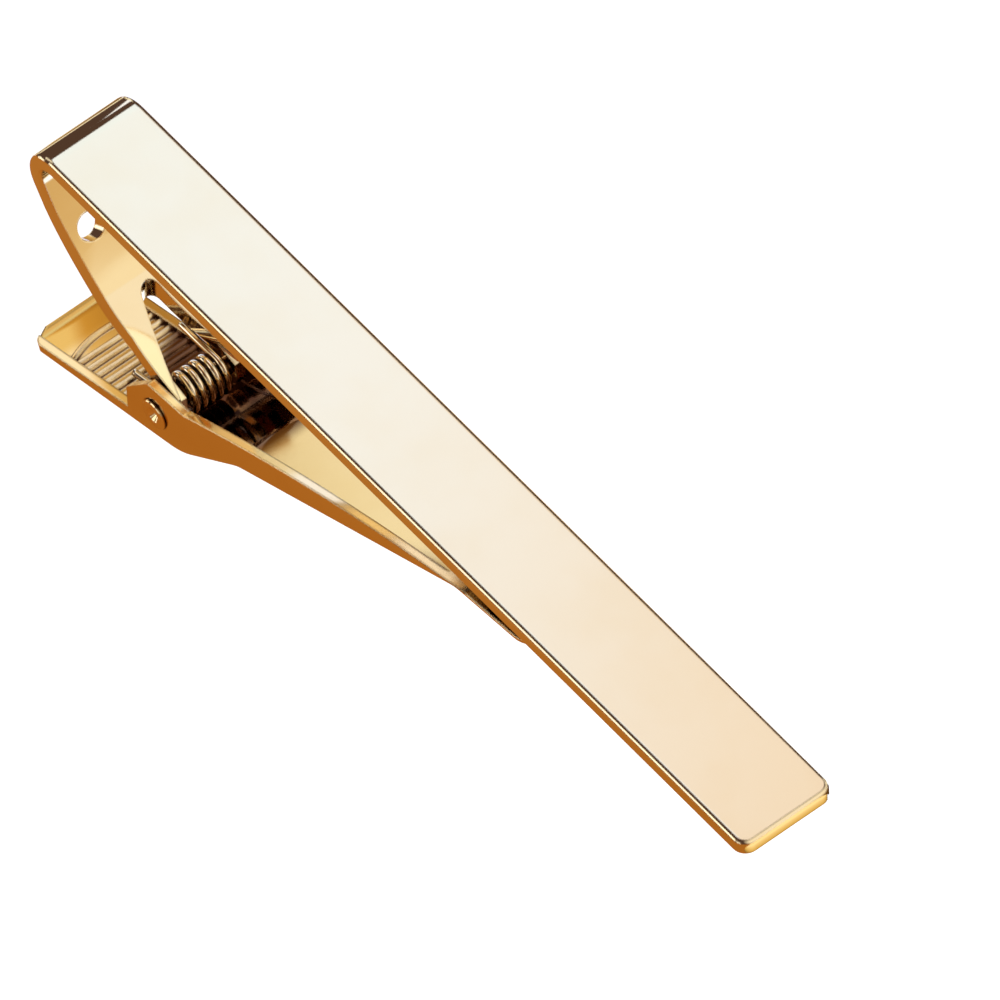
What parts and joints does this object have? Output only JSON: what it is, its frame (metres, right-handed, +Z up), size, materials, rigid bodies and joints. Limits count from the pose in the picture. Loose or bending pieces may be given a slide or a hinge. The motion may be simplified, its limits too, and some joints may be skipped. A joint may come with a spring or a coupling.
{
  "type": "tie clip",
  "caption": "Sprung tie clip: a flat bar folded back into a forked leg, and a stamped jaw with a ribbed thumb tab that rocks on a rivet and closes on the back of the bar.",
  "frame": {"origin": "on the surface that the clip lies on, under the middle of its box; it lies on its back, on the thumb tab and the free end of the bar", "axes": "+X from the bend towards the free end of the bar, +Y across the width, +Z up, out of the front face's side"},
  "size_m": [0.0622, 0.0062, 0.0174],
  "materials": {
    "folded_bar": "polished gold plating",
    "clip_jaw": "polished gold plating over stamped sheet",
    "hinge_pin": "gold plated rivet",
    "torsion_spring": "gold plated spring wire"
  },
  "bodies": {
    "bar": {"folded_bar": "folded_bar", "hinge_pin": "hinge_pin", "torsion_spring": "torsion_spring"},
    "jaw": {"clip_jaw": "clip_jaw"}
  },
  "joints": [
    {"name": "jaw_hinge", "type": "hinge", "parent": "bar", "child": "jaw", "pos_m": [-0.01913, 0, 0.0021], "axis": [0, 1, 0], "range_deg": [0, 60], "stiffness_Nm_per_rad": 0.004, "springref_deg": -68.75, "deforming": ["torsion_spring"]}
  ]
}
